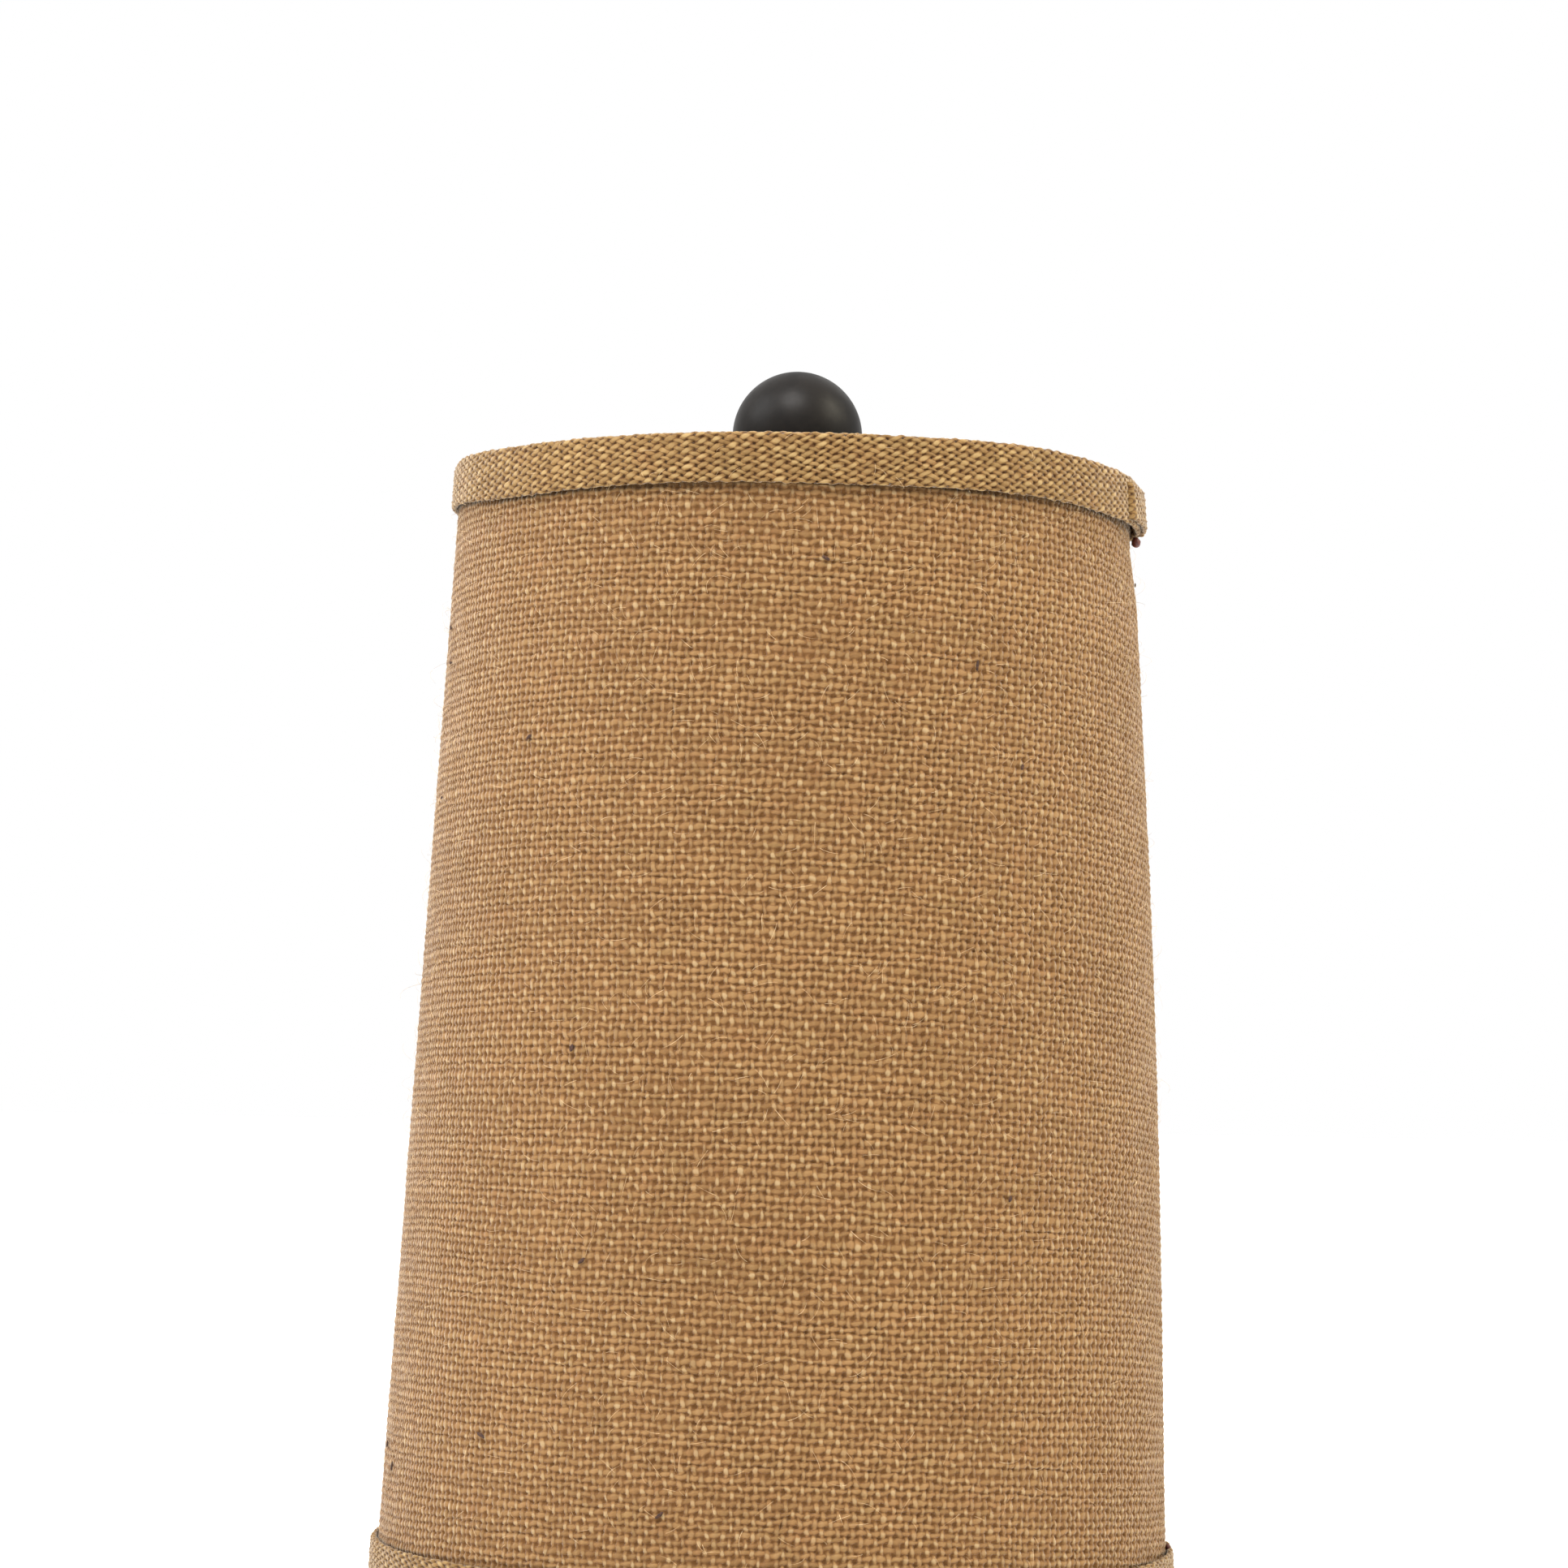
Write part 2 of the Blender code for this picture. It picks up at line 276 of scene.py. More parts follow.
def drift(u, v, seed, own, shared):
    """Where the threads lie once they stray from an even lattice: along each thread, at each crossing by
    own, and all of them together by shared. All are in threads."""
    stray = 0.16
    across_u = stray * value_noise(u * 0.9, v * 0.09, seed) + own * value_noise(u * 0.8, v * 0.8, seed + 40)
    across_v = stray * value_noise(u * 0.09, v * 0.9, seed + 2) + own * value_noise(u * 0.8, v * 0.8, seed + 41)
    across_u += shared * value_noise(u * 0.05, v * 0.03, seed + 1)
    across_v += 1.3 * shared * value_noise(u * 0.025, v * 0.05, seed + 3)
    return u + across_u, v + across_v


def thickness(u, v, seed, much):
    """How much thicker or thinner the yarns are than usual, along each of them."""
    return 1.0 + much * (value_noise(u, v * 0.15, seed) + value_noise(u * 0.15, v, seed + 1))


# The cover's cloth
WARP_PITCH = 1.56 * MM
WEFT_PITCH = 1.645 * MM
PATTERN_CENTRE = math.radians(-30.0)  # azimuth at which the warps run straight up
COVER_WEAVE = Weave(0.265, 0.285, 0.56, 0.36, 0.10, 0.10)
COVER_STEPS = 4  # mesh steps from one thread to the next
COVER_RELIEF = 0.38 * MM  # from the middle of the cloth to a crown
COVER_MIDDLE = -0.38 * MM  # from the cone in to the middle of the cloth
COVER_EDGE = 3.5 * MM  # from each rim to the cover's edge
COVER_STRAY, COVER_DRIFT = 0.17, 0.5  # own and shared, for drift
COVER_UNEVEN = 0.22
COVER_SEED, COVER_YARN_SEED = 3, 7
SPARE_ROWS = 12  # below the lowest row at the front, for the corners of the cone's flat pattern
SEAM_LAP = 9.0 * MM
SEAM_LIFT, SEAM_RAMP = 0.85 * MM, 6.0 * MM
SEAM_END = 1.2 * MM  # over which the seam's cut edge settles
# The dark lines along the trims' edges are glue and a painted shadow of the trims.
LINE_REACH, LOW_LINE_REACH = 0.6 * MM, 0.5 * MM  # of the dark lines at the top and the bottom trim
LOW_LINE = 0.3  # the strength of the bottom one


def flat_to_cone(x, y):
    """Wraps points of the flat cloth onto the cone: their azimuths and heights."""
    turn = math.sin(LEAN)
    reach = APEX / math.cos(LEAN)
    down = reach - y
    slant, angle = np.hypot(x, down), np.arctan2(x, down)
    return angle / turn, APEX - slant * math.cos(LEAN)


def seam_lift(turned, z):
    """How far the cover's lapped end stands off the layer below it, and settles at its cut edge."""
    past = (turned - math.pi) * cone_radius(z)
    lift = SEAM_LIFT * ease((past + SEAM_RAMP) / SEAM_RAMP)
    return lift * (1.0 - 0.9 * ease((past - SEAM_LAP + SEAM_END) / SEAM_END) ** 2)


def glue_and_shadow_line(azimuth, z):
    """The dark line where each trim's edge meets the cover: a painted shadow, and glue."""
    below_top = HEIGHT + trim_shift(azimuth, True) - trim_width(azimuth, True) - z
    above_bottom = z - trim_width(azimuth, False)
    top = np.exp(-((np.maximum(below_top, 0.0) / LINE_REACH) ** 2))
    return top + LOW_LINE * np.exp(-((np.maximum(above_bottom, 0.0) / LOW_LINE_REACH) ** 2))


def build_cover(surface):
    """The cover: every yarn arches over and dives under, with holes between them."""
    half_turn = math.pi + SEAM_LAP / cone_radius(HEIGHT / 2)
    columns = int(BOTTOM_RADIUS * half_turn / WARP_PITCH) + 3
    rows = int(HEIGHT / WEFT_PITCH) + SPARE_ROWS + 2
    u, v = thread_lattice((-columns, -SPARE_ROWS), (columns, rows), COVER_STEPS)
    strayed_u, strayed_v = drift(u, v, COVER_SEED, COVER_STRAY, COVER_DRIFT)
    turned, z = flat_to_cone(strayed_u * WARP_PITCH, strayed_v * WEFT_PITCH)

    start, end = -math.pi, math.pi + SEAM_LAP / cone_radius(z)
    inside = (turned > start) & (turned < end) & (z > COVER_EDGE) & (z < HEIGHT - COVER_EDGE)
    turned = np.clip(turned, start, end)
    z = np.clip(z, COVER_EDGE, HEIGHT - COVER_EDGE)
    azimuth = turned + PATTERN_CENTRE
    relief = COVER_RELIEF * weave_height(u, v, COVER_WEAVE) * thickness(u, v, COVER_YARN_SEED, COVER_UNEVEN)
    radius = cone_radius(z) + bow(azimuth, z) + pinch(azimuth, z) + COVER_MIDDLE + relief + seam_lift(turned, z)

    points = on_shade(azimuth, radius, z).reshape(-1, 3)
    uv = np.stack([u, v], axis=-1).reshape(-1, 2)
    # The glue line with the trims' painted shadow, kept on the cover's points for its material.
    glue_and_shade = glue_and_shadow_line(azimuth, z).ravel()
    faces, points, uv, glue_and_shade = used_only(lattice_faces(u.shape, inside), points, uv, glue_and_shade)
    return add_mesh("burlap_cover", points, faces, surface, uv, glue_and_shade)


# The trims' cloth: the same burlap cut on the bias and pulled along its length
TRIM_WARP = (1.463 * MM, 1.013 * MM)  # one step along a warp: along the rim, and up the outer face
TRIM_WEFT = (1.665 * MM, -0.629 * MM)
TRIM_WEAVE = Weave(0.41, 0.30, 0.22, 0.42, 0.0, 0.0)
TRIM_RELIEF = 0.55 * MM
TRIM_CROWN = 0.35  # the share of the relief that lies under the cloth's middle
TRIM_STEPS = 5
TRIM_STRAY, TRIM_DRIFT = 0.09, 0.3  # own and shared, for drift
TRIM_UNEVEN = 0.2
TRIM_LAP = 24.0 * MM
TRIM_HEM = 1.6 * MM  # turned under at each edge
TRIM_INNER = 7.6 * MM  # depth of the inner leg
TRIM_OUT = 1.25 * MM  # from the cover to the middle of the trim's cloth
TRIM_IN = 5.7 * MM
TRIM_FLARE = 0.12 * MM  # how far the outer leg's edge stands off the cover
LAP_ROLL = 1.1 * MM  # the radius with which the lap's end turns down onto the layer below
LAP_SLOPE = 11.0 * MM  # over which the strip comes down from the layer below to the cover
LAP_SHORTER = 0.05  # how much shorter the upper layer's outer leg is, as a share
LAP_INSIDE = -0.6 * MM  # from the lower layer to the upper one, on the inside of the shade
LAP_PRESSED = 2.0 * MM  # the length at the lap's end where the hem is pressed flat
LAP_SHOULDER = 0.15 * MM  # the depth over which the lap rises, just below the rim's fold
FOLD_DEPTH = 2.0 * MM  # the depth of the rim's fold, which the lap leaves alone
UNDER_SLOPE = 8.0 * MM  # over which the layer under the lap stops following the pinch


def fold_path():
    """The trim's fold, from one hem over the rim to the other, as (out from the cover, depth, length)."""
    hem, corner = 0.5 * MM, 0.75 * MM
    outer_low, inner_low = TRIM_WIDTH - hem, TRIM_INNER - hem
    top = 0.32 * MM
    path = np.concatenate([
        [(TRIM_OUT - 2 * hem, outer_low - TRIM_HEM)],
        arc_points((TRIM_OUT - hem, outer_low), hem, 180, 0),
        [(TRIM_OUT + 0.12 * MM, TRIM_WIDTH * 0.6)],
        arc_points((TRIM_OUT - corner, top + corner), corner, 0, -90),
        arc_points((-TRIM_IN + corner, top + corner), corner, -90, -180),
        arc_points((-TRIM_IN + hem, inner_low), hem, 180, 0),
        [(-TRIM_IN + 2 * hem, inner_low - TRIM_HEM)],
    ])
    length = np.concatenate([[0.0], np.cumsum(np.hypot(*np.diff(path, axis=0).T))])
    return path[:, 0], path[:, 1], length


def build_trim(name, surface, at_top, lap_azimuth, lap_lift, seed):
    """One trim: a bias strip with both edges turned under, folded over the rim and lapped on itself.

    s runs along the strip from the lap's end, and t across it from hem to hem. lap_lift is how far the
    lap stands out, evenly and towards its edge. Also returns the strip's flat size.
    """
    out_path, depth_path, length_path = fold_path()
    width = length_path[-1]
    rim_radius = cone_radius(HEIGHT if at_top else 0.0) + TRIM_OUT
    strip = TURN * rim_radius + TRIM_LAP

    warp, weft = np.array(TRIM_WARP), np.array(TRIM_WEFT)
    to_threads = np.linalg.inv(np.stack([weft, warp], axis=1))
    corners = np.array([(x, y) for x in (0.0, strip) for y in (0.0, width)]) @ to_threads.T
    u, v = thread_lattice(np.floor(corners.min(0)) - 1, np.ceil(corners.max(0)) + 1, TRIM_STEPS)
    strayed_u, strayed_v = drift(u, v, seed, TRIM_STRAY, TRIM_DRIFT)
    s = strayed_u * weft[0] + strayed_v * warp[0]
    t = strayed_u * weft[1] + strayed_v * warp[1]
    inside = (s > 0) & (s < strip) & (t > 0) & (t < width)
    s, t = np.clip(s, 0.0, strip), np.clip(t, 0.0, width)

    def fold_at(place):
        return np.interp(place, length_path, out_path), np.interp(place, length_path, depth_path)

    # The fold's section, with its hem pressed at the lap's end, and the weave's relief square to it
    relief = weave_height(u, v, TRIM_WEAVE) * thickness(u, v, seed + 4, TRIM_UNEVEN)
    relief = TRIM_RELIEF * (relief - TRIM_CROWN)
    out, depth = fold_at(t)
    step = 0.2 * MM
    ahead, behind = fold_at(np.minimum(t + step, width)), fold_at(np.maximum(t - step, 0.0))
    along_out, along_depth = ahead[0] - behind[0], ahead[1] - behind[1]
    norm = np.hypot(along_out, along_depth) + 1e-9
    outer = out > -1.5 * MM
    pressed = 0.85 * ease(1.0 - s / LAP_PRESSED) * (depth > FOLD_DEPTH) * outer
    out = TRIM_OUT + (out - TRIM_OUT) * (1.0 - pressed)
    out = out - relief * along_depth / norm
    depth = depth + relief * along_out / norm

    # Round the rim, from the lap's end, which rolls down onto the layer below
    roll = np.clip(0.5 * math.pi - s / LAP_ROLL, 0.0, None)
    along_rim = np.where(roll > 0.0, LAP_ROLL * (1.0 - np.sin(roll)), s + LAP_ROLL * (1.0 - 0.5 * math.pi))
    turned = along_rim / rim_radius
    azimuth = lap_azimuth + turned
    on_top = 1.0 - ease((s - TRIM_LAP) / LAP_SLOPE)
    reach = trim_width(azimuth, at_top) / TRIM_WIDTH - LAP_SHORTER * on_top
    depth = np.where(outer, depth * reach, depth)
    flare = np.where(outer, np.clip(depth / TRIM_WIDTH, 0.0, 1.0) ** 2, 0.0)
    shoulder = ease((depth - FOLD_DEPTH) / LAP_SHOULDER)
    lap = np.where(outer, shoulder * (lap_lift[0] + lap_lift[1] * flare), LAP_INSIDE)
    out = out + on_top * lap * np.where(outer, 1.0 - 0.97 * (1.0 - np.cos(roll)), 1.0)
    z = trim_shift(azimuth, at_top) + (HEIGHT - depth if at_top else np.maximum(depth, 0.0))

    # The outer leg flares a little, and follows the pinch wherever there is only one layer
    out = out + TRIM_FLARE * flare * (1.0 + 0.7 * value_noise(turned * 3.1, turned * 0.0, seed + 7))
    under = ease((s - strip + TRIM_LAP + UNDER_SLOPE) / UNDER_SLOPE)
    out = out + flare * (1.0 - np.maximum(on_top, under)) * pinch(azimuth, z)
    points = on_shade(azimuth, cone_radius(z) + bow(azimuth, z) + out, z).reshape(-1, 3)

    faces = lattice_faces(u.shape, inside)
    if at_top:
        faces = faces[:, ::-1]
    uv = np.stack([u, v], axis=-1).reshape(-1, 2)
    faces, points, uv = used_only(faces, points, uv)
    return add_mesh(name, points, faces, surface, uv), (strip, width)


# ---- loose fibres, flecks, and glue with painted shade

FIBRE_ROOT = 0.35 * MM  # how deep in the cloth a fibre starts, and how far it then comes out
FIBRE_FLOOR = 0.3 * MM  # the lowest a fibre may hang
FIBRE_RADII = (0.020, 0.042)  # in mm
FLECK_LENGTHS, FLECK_WIDTHS = (0.65, 1.35), (0.32, 0.56)  # halves, in mm
FLECK_THICK, FLECK_OUT = 0.20 * MM, 0.18 * MM
# Each spot of dark glue, which also paints the shade under a trim's lap, as (azimuth in degrees, height, size)
GLUE_AND_SHADE_SPOTS = ((85.0, HEIGHT - TRIM_WIDTH - 1.9 * MM, 1.0), (86.0, TRIM_WIDTH - 1.2 * MM, 0.6))
GLUE_AND_SHADE_OUT = 0.4 * MM


def build_fuzz(name, surface, count, heights, stand_off, length, seed):
    """Loose jute fibres: thin curled hairs with one end in the cloth."""
    draw = np.random.default_rng(seed)
    rings, sides = 6, 3
    azimuth = draw.uniform(-math.pi, math.pi, count)
    z = draw.uniform(*heights, count)
    wall = cone_radius(z) + bow(azimuth, z) + pinch(azimuth, z)
    root = on_shade(azimuth, wall + stand_off - FIBRE_ROOT, z)
    outward, sideways, upward = frame_at(azimuth)

    def blend(angle):
        return np.cos(angle)[:, None] * sideways + np.sin(angle)[:, None] * upward

    heading = draw.uniform(0.0, TURN, count)
    reach = draw.uniform(*length, count)[:, None]
    along = blend(heading)
    curl = blend(heading + math.pi / 2) * draw.normal(0.0, 0.35, count)[:, None]
    loft = outward * draw.gamma(1.6, 0.16, count)[:, None]
    steps = np.linspace(0.0, 1.0, rings)[None, :, None]
    line = root[:, None] + reach[:, None] * (
        along[:, None] * steps + curl[:, None] * steps**2
        + loft[:, None] * np.sin(steps * draw.uniform(1.6, 3.0, count)[:, None, None])
    )
    line = line + outward[:, None] * FIBRE_ROOT * ease(steps * 3.0)
    line[..., 2] = np.maximum(line[..., 2], FIBRE_FLOOR)
    thick = draw.uniform(*FIBRE_RADII, count)[:, None, None, None] * MM * (1.0 - 0.6 * steps[..., None])
    angle = np.arange(sides) * TURN / sides
    across = np.cross(along, outward)
    ring = np.cos(angle)[None, :, None] * outward[:, None] + np.sin(angle)[None, :, None] * across[:, None]
    points = (line[:, :, None] + thick * ring[:, None]).reshape(-1, 3)

    number = np.arange(count * rings * sides).reshape(count, rings, sides)
    here, there = number[:, :-1], number[:, 1:]
    turned_here, turned_there = np.roll(here, -1, axis=2), np.roll(there, -1, axis=2)
    walls = [np.stack(three, axis=-1).reshape(-1, 3) for three in
             ((here, turned_here, turned_there), (here, turned_there, there))]
    faces = np.concatenate(walls + [number[:, 0, ::-1], number[:, -1]])
    return add_mesh(name, points, faces, surface)


def skin(rings):
    """Faces between rings of point numbers. A ring that closes to a point repeats one number."""
    faces = []
    for here, there in zip(rings, rings[1:]):
        for side in range(len(here)):
            after = (side + 1) % len(here)
            corners = list(dict.fromkeys([here[side], here[after], there[after], there[side]]))
            if len(corners) > 2:
                faces.append(corners)
    return faces


def blob(centre, axes, rings, sides, seed):
    """A lumpy ellipsoid as lists of points and faces. Its axes are three vectors."""
    draw = np.random.default_rng(seed)
    lumps = draw.uniform(0.86, 1.12, (rings + 1, sides))
    points, numbers = [centre + axes[2]], [[0] * sides]
    for ring in range(1, rings):
        tilt = math.pi * ring / rings
        numbers.append(list(range(len(points), len(points) + sides)))
        for side in range(sides):
            turn = TURN * side / sides
            way = (math.sin(tilt) * math.cos(turn), math.sin(tilt) * math.sin(turn), math.cos(tilt))
            points.append(centre + lumps[ring, side] * sum(w * axis for w, axis in zip(way, axes)))
    numbers.append([len(points)] * sides)
    return points + [centre - axes[2]], skin(numbers[::-1])


def join(shapes):
    """Several (points, faces) as one."""
    points, faces = [], []
    for some_points, some_faces in shapes:
        faces += [[corner + len(points) for corner in face] for face in some_faces]
        points += list(some_points)
    return points, faces


def frame_at(azimuth):
    """Unit vectors outwards, sideways and up at one azimuth or at many."""
    outward = on_shade(azimuth, 1.0, 0.0)
    sideways = np.stack([np.cos(azimuth), np.sin(azimuth), 0.0 * azimuth], axis=-1)
    return outward, sideways, np.array([0.0, 0.0, 1.0])


def build_flecks(surface, count=40, seed=91):
    """Flecks of jute bark caught between the yarns."""
    draw = np.random.default_rng(seed)
    shapes = []
    for number in range(count):
        azimuth, z = draw.uniform(-math.pi, math.pi), draw.uniform(0.07, 0.93) * HEIGHT
        outward, sideways, upward = frame_at(azimuth)
        tilt = draw.normal(0.3, 0.6)
        long_way = math.cos(tilt) * sideways + math.sin(tilt) * upward
        wide_way = math.cos(tilt) * upward - math.sin(tilt) * sideways
        length, width = draw.uniform(*FLECK_LENGTHS) * MM, draw.uniform(*FLECK_WIDTHS) * MM
        radius = cone_radius(z) + float(bow(azimuth, z) + pinch(azimuth, z)) + FLECK_OUT
        centre = radius * outward + z * upward
        axes = (length * long_way, width * wide_way, FLECK_THICK * outward)
        shapes.append(blob(centre, axes, 6, 8, seed + number))
    return add_solid("bark_flecks", *join(shapes), surface, 70.0)


def build_glue_and_shade_spots(surface):
    """The spot of dark glue under each trim's lap, which also stands in for the shade there."""
    shapes = []
    for azimuth, z, size in GLUE_AND_SHADE_SPOTS:
        outward, sideways, upward = frame_at(math.radians(azimuth))
        radius = cone_radius(z) + float(bow(math.radians(azimuth), z)) + GLUE_AND_SHADE_OUT
        axes = (1.3 * size * MM * sideways, 1.25 * size * MM * upward, 1.0 * size * MM * outward)
        shapes.append(blob(radius * outward + z * upward, axes, 8, 12, 17))
    return add_solid("lap_glue", *join(shapes), surface, 70.0)


# ---- materials

class Graph:
    """A material and the few words that build its nodes."""

    def __init__(self, name):
        self.material = bpy.data.materials.new(name)
        self.material.use_nodes = True
        self.tree = self.material.node_tree
        self.shader = self.tree.nodes["Principled BSDF"]

    def node(self, kind, **settings):
        made = self.tree.nodes.new(kind)
        for name, value in settings.items():
            setattr(made, name, value)
        return made

    def join(self, value, socket):
        """Links a socket, or sets a plain value."""
        if isinstance(value, bpy.types.NodeSocket):
            self.tree.links.new(value, socket)
        else:
            socket.default_value = value

    def put(self, name, value):
        """Gives the shader a socket or a plain value for one of its inputs."""
        self.join(value, self.shader.inputs[name])

    def fill(self, kind, values, **settings):
        """A node whose first inputs take the values, in order. Returns its first output."""
        made = self.node(kind, **settings)
        for value, socket in zip(values, made.inputs):
            self.join(value, socket)
        return made.outputs[0]

    def math(self, operation, *values):
        return self.fill("ShaderNodeMath", values, operation=operation)

    def vector(self, x, y, z=0.0):
        return self.fill("ShaderNodeCombineXYZ", (x, y, z))

    def vector_math(self, operation, *values):
        return self.fill("ShaderNodeVectorMath", values, operation=operation)

    def noise(self, vector, scale, detail=2.0, roughness=0.5, output="Fac"):
        made = self.node("ShaderNodeTexNoise")
        self.join(vector, made.inputs["Vector"])
        made.inputs["Scale"].default_value = scale
        made.inputs["Detail"].default_value = detail
        made.inputs["Roughness"].default_value = roughness
        return made.outputs[output]

    def random(self, vector):
        return self.fill("ShaderNodeTexWhiteNoise", (vector,), noise_dimensions="3D")

    def span(self, value, low, high, to_low=0.0, to_high=1.0):
        values = (value, low, high, to_low, to_high)
        return self.fill("ShaderNodeMapRange", values, interpolation_type="SMOOTHSTEP")

    def mix(self, factor, first, second):
        """The second colour where the factor is 1, and the first where it is 0."""
        made = self.node("ShaderNodeMix", data_type="RGBA")
        self.join(factor, made.inputs["Factor"])
        for value, number in ((first, 6), (second, 7)):  # the node's two inputs for colours
            self.join((*value, 1.0) if isinstance(value, tuple) else value, made.inputs[number])
        return made.outputs[2]

    def either(self, factor, first, second):
        """The second number where the factor is 1, and the first where it is 0."""
        made = self.node("ShaderNodeMix", data_type="FLOAT")
        for value, name in ((factor, "Factor"), (first, "A"), (second, "B")):
            self.join(value, made.inputs[name])
        return made.outputs["Result"]

    def place(self):
        return self.node("ShaderNodeTexCoord").outputs["Object"]

    def bump(self, height, distance, strength=1.0):
        made = self.node("ShaderNodeBump")
        made.inputs["Strength"].default_value = strength
        made.inputs["Distance"].default_value = distance
        self.join(height, made.inputs["Height"])
        self.put("Normal", made.outputs["Normal"])


STRAY = 0.62  # how far the painted yarns' edges wander from the modelled ones, in threads
SLUB = 0.41  # how much the yarns' painted width varies, in threads
WEFT_IDS = 517.0  # keeps the wefts' random values apart from the warps'


def weave_nodes(g, weave):
    """The weave in nodes: its height, the ridge of the yarn on top (1 along its middle and 0 at its edges),
    its fibres and its slubs, and random values for each crossing and each yarn."""
    uv = g.node("ShaderNodeUVMap", uv_map="threads").outputs["UV"]
    wander = g.noise(uv, 0.9, 3.0, output="Color")
    wander = g.vector_math("MULTIPLY", wander, (STRAY, STRAY, 0.0))
    moved = g.vector_math("ADD", g.vector_math("ADD", uv, wander), (-STRAY / 2, -STRAY / 2, 0.0))
    split = g.node("ShaderNodeSeparateXYZ")
    g.join(moved, split.inputs[0])
    u, v = split.outputs[0], split.outputs[1]
    cell_u, cell_v = g.math("ROUND", u), g.math("ROUND", v)
    fu, fv = g.math("SUBTRACT", u, cell_u), g.math("SUBTRACT", v, cell_v)
    odd = g.math("FLOORED_MODULO", g.math("ADD", cell_u, cell_v), 2.0)
    warp_on_top = g.math("MULTIPLY_ADD", odd, -2.0, 1.0)

    def yarn(across, along, total, number, half, lift, sign, shift):
        slub = g.noise(g.vector(g.math("MULTIPLY", total, 0.3), g.math("MULTIPLY", number, 7.31)), 1.0, 2.0, 0.6)
        wave = g.math("COSINE", g.math("MULTIPLY_ADD", along, math.pi, shift * math.pi))
        wave = g.math("MULTIPLY", g.math("MULTIPLY", wave, warp_on_top), sign)
        lean = g.math("MULTIPLY", g.math("MULTIPLY", along, warp_on_top), weave.lean)
        width = g.math("MULTIPLY_ADD", wave, YARN_SWELL, half - SLUB / 2)
        width = g.math("MULTIPLY_ADD", slub, SLUB, width)
        ridge = g.math("POWER", g.math("DIVIDE", g.math("ABSOLUTE", g.math("ADD", across, lean)), width), 2.0)
        ridge = g.math("MAXIMUM", g.math("SUBTRACT", 1.0, ridge), 0.0)
        bulge = g.math("SQRT", ridge)
        height = g.math("MULTIPLY_ADD", bulge, YARN_BULGE, g.math("MULTIPLY", wave, lift))
        gone = g.math("LESS_THAN", bulge, 0.001)
        return g.math("SUBTRACT", height, g.math("MULTIPLY", gone, 2.0)), slub, ridge

    weft_number = g.math("ADD", cell_v, WEFT_IDS)
    warp, warp_slub, warp_ridge = yarn(
        fu, fv, v, cell_u, weave.warp_half, weave.warp_lift, 1.0, weave.shift)
    weft, weft_slub, weft_ridge = yarn(
        fv, fu, u, weft_number, weave.weft_half, weave.weft_lift, -1.0, 0.0)
    height = g.math("MAXIMUM", g.math("MAXIMUM", warp, weft), HOLE_DEPTH)
    is_warp = g.math("GREATER_THAN", warp, weft)

    along = g.either(is_warp, u, v)
    across = g.either(is_warp, g.math("MULTIPLY", fv, -1.0), fu)
    yarn_id = g.either(is_warp, weft_number, cell_u)
    twist = g.math("MULTIPLY_ADD", along, 0.6, across)
    ply = g.vector(g.math("MULTIPLY", twist, 9.0), g.math("MULTIPLY", along, 1.2), yarn_id)
    return {
        "height": height,
        "ridge": g.either(is_warp, weft_ridge, warp_ridge),
        "fibres": g.noise(ply, 1.0, 3.0, 0.6),
        "slub": g.either(is_warp, weft_slub, warp_slub),
        "crossing": g.random(g.vector(cell_u, cell_v, 3.0)),
        "yarn": g.random(g.vector(yarn_id, 5.0, 1.0)),
        "is_warp": is_warp,
        "uv": uv,
    }


# A burlap's colours: its light and dark yarns, the painted shade in its holes and a paler colour for the painted
# highlight on each crown.
# Crown highlights says how strongly the warps' and the wefts' crown are painted paler. Flank shade gives the
# ridges at which the painted shade on a yarn's side starts and ends.
DyeAndPaintedLight = collections.namedtuple("DyeAndPaintedLight", "light dark hole pale crowns flanks")
REDDISH, GREENISH = (0.21, 0.088, 0.036), (0.17, 0.112, 0.043)
# The colour of the glue line, which also paints the trims' shadow on the cover.
GLUE_AND_SHADOW_COLOUR = (0.048, 0.025, 0.009)
TONE_SHARES = (("yarn", 0.35), ("slub", 0.4), ("fibres", 1.1), ("crossing", 0.3))  # what lightens a yarn


